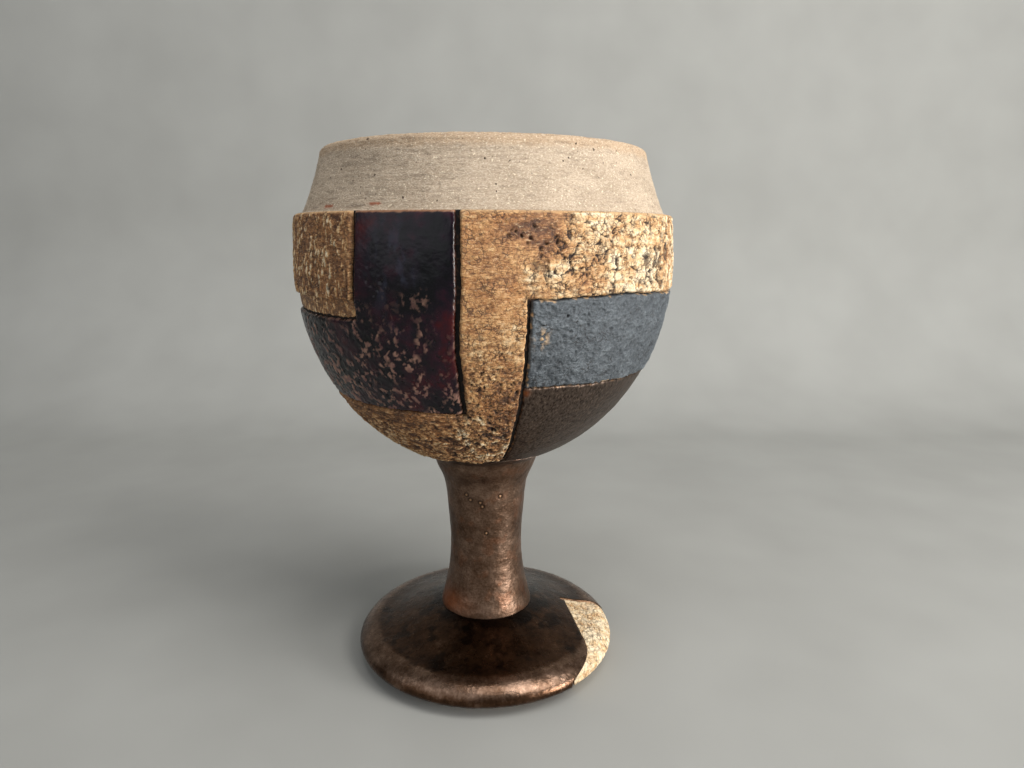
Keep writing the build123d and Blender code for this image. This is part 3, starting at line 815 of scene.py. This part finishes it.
def add_groove_stain(material):
    """Painted shade: dark strips on the clay along the grooves, reaching a little way under the panels."""
    upright = [(LEFT, PATCH_LOW, SHOULDER_Z), (MIDDLE, PURPLE_LOW, SHOULDER_Z),
               (RIGHT, COAT_LOW_Z, SLATE_HIGH), (RIGHT_BACK, COAT_LOW_Z, SHOULDER_Z),
               (BACK, BACK_PURPLE_LOW, SHOULDER_Z), (BACK_LEFT - 360, COAT_LOW_Z, SHOULDER_Z),
               (LEFT_BACK, COAT_LOW_Z, SHOULDER_Z)]
    level = [(LEFT_BACK, LEFT, PATCH_LOW), (LEFT_BACK, MIDDLE, PURPLE_LOW),
             (RIGHT, RIGHT_BACK, SLATE_HIGH), (RIGHT, RIGHT_BACK, SLATE_LOW),
             (RIGHT_BACK, BACK, BACK_PURPLE_LOW), (BACK_LEFT - 360, LEFT_BACK, BACK_SLATE_LOW)]
    step, spacing, reach = 2, 0.4, 1.7
    blocks_round = 360
    run_low, run_high = CLAD.run_at(COAT_LOW_Z), CLAD.run_at(SHOULDER_Z)
    blocks_up = round((run_high - run_low) / (step * spacing))
    azimuth = np.linspace(-179.5, 179.5, blocks_round * step + 1)[:, None]
    run = np.linspace(run_low, run_high, blocks_up * step + 1)[None] + 0 * azimuth
    azimuth = azimuth + 0 * run
    place, out = CLAD.at(run)
    near = np.full(run.shape, FAR)
    for seam, z_low, z_high in upright:
        past = np.maximum(0, np.maximum(CLAD.run_at(z_low) - run, run - CLAD.run_at(z_high)))
        near = np.minimum(near, np.hypot(np.radians(azimuth - seam) * place[..., 0], past))
    for start, end, z in level:
        past = np.maximum(0, np.maximum(start - azimuth, azimuth - end))
        near = np.minimum(near, np.hypot(np.radians(past) * place[..., 0], run - CLAD.run_at(z)))
    keep = near[step // 2::step, step // 2::step] < reach
    points, ways = around(azimuth, place), around(azimuth, out)
    height = 0.22 + 0.05 * noise(points, 1.0, 821, 2)
    top = points + (height - COAT)[..., None] * ways
    bottom = (points - (COAT + 0.1) * ways)[::step, ::step]
    # these strips carry the painted shade of the grooves
    slab("groove_stain", top, bottom, keep, step, {}, material=material, node_names=["groove_stain"],
         slot="groove_stain")


# ---- turned pieces ----
def spaced(line, spacings):
    """Thin a finely drawn half section out: spacings are (up to run, spacing) pairs."""
    outline = Outline(line)
    runs, start = [], 0.0
    for end, spacing in spacings:
        end = min(end, outline.run[-1])
        runs.append(np.linspace(start, end, max(2, round((end - start) / spacing)), endpoint=False))
        start = end
    runs = np.append(np.concatenate(runs), outline.run[-1])
    return Outline(outline.at(runs)[0])


def collar_line(count=60):
    """The collar's side, from the ledge up to the lip."""
    share = np.linspace(0, 1, count)
    lean = COLLAR_RADIUS + (LIP_RADIUS + LIP_ROUND - COLLAR_RADIUS) * share
    hollow = COLLAR_HOLLOW * 4 * share * (1 - share)
    return np.stack([lean - hollow, SHOULDER_Z + (LIP_Z - LIP_ROUND - SHOULDER_Z) * share], axis=1)


def lip_line(count=16):
    """The lip's rounding, from its outside over to its inside."""
    turn = np.linspace(0, math.pi, count)[1:]
    heights = LIP_Z - LIP_ROUND + LIP_ROUND * np.sin(turn)
    return np.stack([LIP_RADIUS + LIP_ROUND * np.cos(turn), heights], axis=1)


def inside_line(inset, count=200):
    """The cup's inside from the lip down to the middle of its floor."""
    radius = BOWL_RADIUS - COAT - WALL - inset
    drop = BOWL_DROP - COAT - FLOOR - inset
    mouth_radius, mouth_z = LIP_RADIUS - LIP_ROUND - inset, LIP_Z - LIP_ROUND
    share = np.linspace(1, 0, count // 3)[:-1]
    heights = EQUATOR_Z + (mouth_z - EQUATOR_Z) * share
    upper = np.stack([radius - (radius - mouth_radius) * share**2, heights], axis=1)
    turn = np.linspace(0, -math.pi / 2, count)
    lower = np.stack([radius * np.cos(turn), EQUATOR_Z + drop * np.sin(turn)], axis=1)
    return np.concatenate([upper, lower])


def add_bowl_clay(material):
    """The thrown bowl: only its ledge, collar and lip are bare."""
    side = bowl_outline(COAT)
    outside = np.concatenate([side, collar_line(), lip_line()])
    ledge_start, ledge_end = Outline(np.concatenate([side, collar_line()[:1]])).run[-2:]
    lip_end = Outline(outside).run[-1]
    outline = spaced(np.concatenate([outside, inside_line(0)]),
                     [(ledge_start - 1.0, 2.0), (lip_end, GRAIN * 1.3), (1e3, 2.0)])

    def relief(azimuth, at, run):
        bare = smooth(ledge_end, ledge_end + 1.5, run) * smooth(lip_end + 3, lip_end, run)
        z = at[..., 2]
        rings = noise(at * (0.12, 0.12, 1), 1.6, 901, 2)
        rise = bare * (0.06 * rings + 0.05 * noise(at, 3, 903, 3) + 0.05 * noise(at, 0.7, 905, 2) - 0.05)
        scratch = smooth(0.35, 0.6, noise(at * (0.35, 0.35, 2.5), 1.2, 907, 2))
        rise -= bare * 0.08 * scratch
        # painted shade: patches darkened at the foot of the collar, where it meets the ledge, on its left
        # side away from the light
        foot_of_collar = smooth(SHOULDER_Z + 1.6, SHOULDER_Z + 0.4, z) * bare
        collar_shade_left = smooth(0.0, 0.4, noise(at, 3, 909, 2)) * smooth(-20, -40, azimuth)
        rust = blob(azimuth, z, -48.5, SHOULDER_Z + 1.0, 2.6, 0.5)
        rust += blob(azimuth, z, -30, SHOULDER_Z + 1.2, 2.6, 0.4)
        rust = smooth(0.35, 0.7, rust + 0.25 * noise(at, 1.0, 913, 2))
        tan = smooth(LIP_Z - 3.2, LIP_Z - 1.6, z + 0.5 * noise(at, 4, 911)) * (run < lip_end + 2)
        # dark: painted shade at the foot of the collar, and the scratches
        dark = 0.8 * foot_of_collar * collar_shade_left + 0.2 * scratch * bare
        return rise, {"tan": tan, "rust": 0.8 * rust, "dark": dark}

    lathe("bowl_clay", outline, 900, relief, material=material, node_names=["bowl"], slot="clay")


def add_liner(material):
    """The glaze inside the cup, with the rings that the potter's fingers left."""
    inner = inside_line(LINER)
    outer = inside_line(-0.05)[::-1]
    outline = spaced(np.concatenate([outer, inner]), [(1e3, 1.2)])
    middle = outline.run[-1] / 2

    def relief(azimuth, at, run):
        shown = smooth(middle, middle + 2, run)
        rings = np.sin(run * 1.9 + 0.8 * noise(at, 12, 921) + azimuth / 57.3)
        z = at[..., 2]
        rise = shown * (0.10 * rings + 0.06 * noise(at, 5, 923, 2)) * smooth(LIP_Z - 2, LIP_Z - 8, z)
        return rise, {"tone": 0.28 - 0.1 * rings + 0.55 * smooth(LIP_Z - 9, LIP_Z - 2, z + noise(at, 5, 925))}

    lathe("liner", outline, 480, relief, material=material, node_names=["liner_glaze"], slot="liner_glaze")


def cad_side(node, low, high, count):
    """The outside of a turned CAD node between two heights, as (radius, height) points."""
    source = bpy.data.objects[node]
    corners = [source.matrix_world @ vertex.co for vertex in source.data.vertices]
    skin = BVHTree.FromPolygons(corners, [list(face.vertices) for face in source.data.polygons])
    heights = np.linspace(low, high, count)
    hits = [skin.ray_cast(Vector((-0.1, 0.0002, z * MM)), Vector((1, 0, 0)))[0] for z in heights]
    return [(-hit.x / MM, z) for hit, z in zip(hits, heights)]


# azimuth and height of the popped bubbles in the stem's glaze
STEM_BUBBLES = [(-27.9, 46.9), (-22.4, 45.6), (-8.1, 45.0), (-5.3, 43.9), (0.2, 36.4), (20, 46.5)]
STEM_RADIUS = 10.2                          # about where they are


def add_stem_glaze(material):
    """Bronze glaze from the crease at the foot up to the panels."""
    side = Outline(curve_through(cad_side("stem_glaze", CREASE_Z + INSIDE, COAT_LOW_Z - INSIDE, 40), 400))
    outer, inner = side.line, side.line - (BRONZE - 0.05) * side.out
    outer_run = Outline(outer).run[-1]
    outline = spaced(np.concatenate([outer, inner[::-1], outer[:1]]), [(outer_run, STEM_GRAIN), (1e3, 2.0)])

    def relief(azimuth, at, run):
        shown = smooth(outer_run + 0.5, outer_run, run)
        z = at[..., 2]
        rise = 0.06 * noise(at, 2.2, 931, 2) + 0.03 * noise(at, 0.9, 933, 2) - 0.04
        hole, bead = 0 * z, 0 * z
        for where, height in STEM_BUBBLES:
            away = np.hypot(np.radians(azimuth - where) * STEM_RADIUS, z - height)
            bead = np.maximum(bead, smooth(0.38, 0.2, away))
            hole = np.maximum(hole, smooth(0.95, 0.5, away))
        tone = 0.50 + 0.12 * noise(at, 5, 935, 3) + 0.05 * noise(at, 1.2, 937, 2)
        rust = blob(azimuth, z, -62, 16, 30, 3) + 0.15 * smooth(0.2, 0.6, noise(at, 4, 939, 3))
        return shown * (rise - 0.15 * hole + 0.2 * bead), {
            "tone": tone, "rust": np.clip(0.6 * rust, 0, 1), "dark": 0.6 * hole * (1 - bead),
            "rim": 0.8 * bead, "dull": smooth(55, 58, z), "satin": 0.8 + 0 * z}

    lathe("stem_glaze", outline, 320, relief,
          material=material, node_names=["stem_glaze"], slot="bronze_glaze")


# ---- the foot ----
FOOT_GLAZED = cad_side("foot_glaze", GLAZE_LOW_Z + INSIDE, CREASE_Z - INSIDE, 60)
FOOT = Outline(curve_through([(FOOT_BASE_RADIUS, 0), *FOOT_GLAZED, (CREASE_RADIUS, CREASE_Z)], 600))
WEDGE_TIP = (22.2, 4.1)                     # x and y of its inner corner
WEDGE_TURN = -79.1                          # the way its front edge runs from there
WEDGE_REACH = 21.5                          # it is nowhere nearer the axis than this
WEDGE_COAT = 0.5


def foot_outline(inset):
    """The foot's side, from the table round its rim and up its dome to the crease."""
    line = FOOT.line - inset * FOOT.out
    return np.concatenate([[(FOOT_BASE_RADIUS - inset, 0)], line[line[:, 1] > 0.02]])


def glazed(line):
    """The part of the foot's side that the glaze covers."""
    return line[line[:, 1] > GLAZE_LOW_Z]


def wedge_azimuths(radius, z):
    """Where the ochre wedge starts and ends on the foot; it spreads forwards below the rim."""
    tip, turn = np.array(WEDGE_TIP), math.radians(WEDGE_TURN)
    way = np.array([math.cos(turn), math.sin(turn)])
    middle = tip @ way
    along = -middle + np.sqrt(np.maximum(middle**2 + radius**2 - tip @ tip, 0))
    start = tip + along[..., None] * way
    end = math.degrees(math.atan2(tip[0], -tip[1]))
    spread = 13 * smooth(8.2, 4.5, z)
    return np.degrees(np.arctan2(start[..., 0], -start[..., 1])) - spread, end


def add_foot_clay(material):
    """The foot's clay, with the recess and the ring under it."""
    inner = foot_outline(BRONZE)
    share = np.linspace(0, 1, 40)
    recess = np.stack([(inner[0, 0] - RING_WIDTH) * share, RECESS_DEPTH * (1 - share**2)], axis=1)
    outline = spaced(np.concatenate([recess, inner, [[0, inner[-1, 1]]]]), [(1e3, 0.6)])

    def relief(azimuth, at, run):
        rise = 0.05 * noise(at, 2, 941, 3) * smooth(0, 0.4, run)
        return rise * (at[..., 2] > 0.3), {"tan": 0.6 + 0 * run, "rust": 0 * run, "dark": 0 * run}

    lathe("foot_clay", outline, 360, relief, material=material, node_names=["foot"], slot="clay")


def add_foot_glaze(material):
    """Bronze glaze over the foot, thin enough under the wedge for the slip to cover it."""
    outer, under = glazed(foot_outline(0)), glazed(foot_outline(BRONZE - 0.05))
    outer_run = Outline(outer).run[-1]
    outline = spaced(np.concatenate([outer, under[::-1], outer[:1]]), [(outer_run, FOOT_GRAIN), (1e3, 2.0)])

    def relief(azimuth, at, run):
        shown = smooth(outer_run + 0.3, outer_run - 0.2, run)
        radius, z = np.hypot(at[..., 0], at[..., 1]), at[..., 2]
        start, end = wedge_azimuths(radius, z)
        edge = np.minimum((azimuth - start), (end - azimuth)) * radius * math.pi / 180
        inside = smooth(-0.7, 0.15, edge) * (radius > WEDGE_REACH)
        rise = 0.05 * noise(at, 5, 951, 2) + 0.015 * noise(at, 1.2, 953, 2) - 0.04
        cloud = noise(at, 5, 955, 3)
        # painted highlight: the tone is lighter from a radius of 28.5 mm outwards, a coppery band round the
        # rim
        tone = 0.18 + 0.14 * cloud + 0.08 * noise(at, 1.2, 956, 3) + 0.34 * smooth(28.5, 30.5, radius)
        # painted shade: darker on the side wall below the rim, which faces down
        tone -= 0.25 * smooth(6.5, 5.0, z)
        low = smooth(2.0, 1.2, z)
        # dark: painted shade near the crease at the stem, together with black mottles and a darker patch at
        # the front
        dark = 0.75 * smooth(17, 12.8, radius + 2 * cloud) + 0.6 * smooth(0.25, 0.6, noise(at, 5, 957, 4))
        dark += 0.5 * blob(radius, azimuth, 27, -5, 1.8, 14) * smooth(0.0, 0.3, noise(at, 2, 958, 2))
        dark = np.clip(dark * smooth(32, 29, radius), 0, 0.85)
        rim = 0.2 * smooth(-0.9, -0.1, edge) * (radius > WEDGE_REACH) * (edge < 0.3)
        none = 0 * radius
        return shown * (rise - inside - 0.3 * low), {
            "tone": tone, "dark": dark, "rust": 0.3 * low, "dull": none, "satin": none, "rim": rim}

    lathe("foot_glaze", outline, 900, relief,
          material=material, node_names=["foot_glaze"], slot="bronze_glaze")


def add_foot_wedge(material):
    """The wedge of ochre slip that covers the right of the foot."""
    side = Outline(foot_outline(BRONZE - WEDGE_COAT))
    ridge = np.argmax(side.line[:, 0])
    tip_run = np.interp(-math.hypot(*WEDGE_TIP), -side.line[ridge:, 0], side.run[ridge:])
    low_run = np.interp(GLAZE_LOW_Z, side.line[:ridge, 1], side.run[:ridge])
    step, blocks = 4, (40, 30)
    part = np.linspace(0, 1, step * blocks[0] + 1)[:, None]
    run = np.linspace(low_run, tip_run - 0.1, step * blocks[1] + 1)[None] + 0 * part
    place, out = side.at(run)
    start, end = wedge_azimuths(place[..., 0], place[..., 1])
    azimuth = start + part * (end - start)
    at = around(azimuth, place)
    edge = np.minimum(part, 1 - part) * (end - start) * place[..., 0] * math.pi / 180
    _, border, tag = cells(shifted(at, 2, 0.5, 961), 1.5, 963)
    crack = smooth(0.2, 0.04, border)
    rise = 0.05 * smooth(0, 0.6, border) - 0.12 * crack + 0.04 * noise(at, 1.0, 965, 2)
    rise = rise * smooth(0, 0.5, edge)
    layers = {"tone": 0.92 + 0.15 * (tag - 0.5) + 0.15 * noise(at, 3, 967, 2), "dark": 0.35 * crack,
              "rim": 0 * tag}
    top = at + rise[..., None] * around(azimuth, out)
    bottom = (at - (WEDGE_COAT - 0.05) * around(azimuth, out))[::step, ::step]
    slab("foot_wedge", top, bottom, np.ones(blocks, bool), step, layers,
         material=material, node_names=["foot_ochre_wedge"], slot="ochre_slip")


# ---- surroundings ----
def add_light(name, azimuth, elevation, distance, size, power, tint):
    """A square of light that faces the chalice from that far away, in metres."""
    light = bpy.data.lights.new(name, "AREA")
    light.shape = "RECTANGLE"
    light.size, light.size_y = size
    light.energy = power
    light.color = tint
    lamp = bpy.data.objects.new(name, light)
    a, e = math.radians(azimuth), math.radians(elevation)
    away = Vector((math.sin(a) * math.cos(e), -math.cos(a) * math.cos(e), math.sin(e)))
    lamp.location = Vector((0, 0, 0.08)) + distance * away
    lamp.rotation_euler = (distance * away).to_track_quat("Z", "Y").to_euler()
    bpy.context.scene.collection.objects.link(lamp)


def add_surroundings():
    """A plain pale floor that curves up behind, two soft windows, light from above and a weak fill."""
    turn = np.linspace(0, math.pi / 2, 24)
    bend = [(0.2 + 0.12 * math.sin(t), 0.12 - 0.12 * math.cos(t)) for t in turn]
    floor = [(-1.2, 0.0), *bend, (0.32, 2.2)]
    points = [(x, y, z) for x in (-2.5, 2.5) for y, z in floor]
    count = len(floor)
    mesh = bpy.data.meshes.new("floor")
    mesh.from_pydata(points, [], [(k, k + count, k + count + 1, k + 1) for k in range(count - 1)])
    mesh.shade_smooth()
    f = Finish("pale_floor")
    shade = f.ramp(f.noise(40, 2), (0.3, (148, 148, 144)), (0.7, (154, 154, 150)))
    mesh.materials.append(f.done(Base_Color=shade, Roughness=0.8, Specular_IOR_Level=0.3))
    stage = bpy.data.objects.new("floor", mesh)
    bpy.context.scene.collection.objects.link(stage)
    add_light("low_window", 58, 3, 0.6, (0.18, 0.20), 3.8, (1.0, 0.98, 0.95))
    add_light("high_window", 55, 42, 0.7, (0.3, 0.3), 2.6, (1.0, 0.98, 0.95))
    add_light("overhead", 30, 72, 0.8, (0.5, 0.5), 3.2, (1.0, 0.98, 0.96))
    add_light("fill", -45, 30, 1.5, (1.6, 1.6), 7.0, (0.95, 0.97, 1.0))
    world = bpy.data.worlds.new("room")
    world.use_nodes = True
    sky = world.node_tree.nodes["Background"].inputs
    sky["Color"].default_value = (0.92, 0.96, 1.0, 1)
    sky["Strength"].default_value = 0.22
    bpy.context.scene.world = world
    bpy.context.scene.view_settings.view_transform = "Standard"


add_camera()
materials = {"clay": clay_finish(), "ochre": ochre_finish(), "plum": plum_finish(), "slate": slate_finish(),
             "bronze": bronze_finish(), "liner": liner_finish(), "stain": stain_finish()}
add_panels(materials)
add_groove_stain(materials["stain"])
add_bowl_clay(materials["clay"])
add_liner(materials["liner"])
add_stem_glaze(materials["bronze"])
add_foot_clay(materials["clay"])
add_foot_glaze(materials["bronze"])
add_foot_wedge(materials["ochre"])
core = hidden_clay_finish()
for node in ("stem", "upper_slip_joint", "lower_slip_joint"):
    piece = bpy.data.objects[node]
    piece.data.materials.clear()
    piece.data.materials.append(core)
add_surroundings()
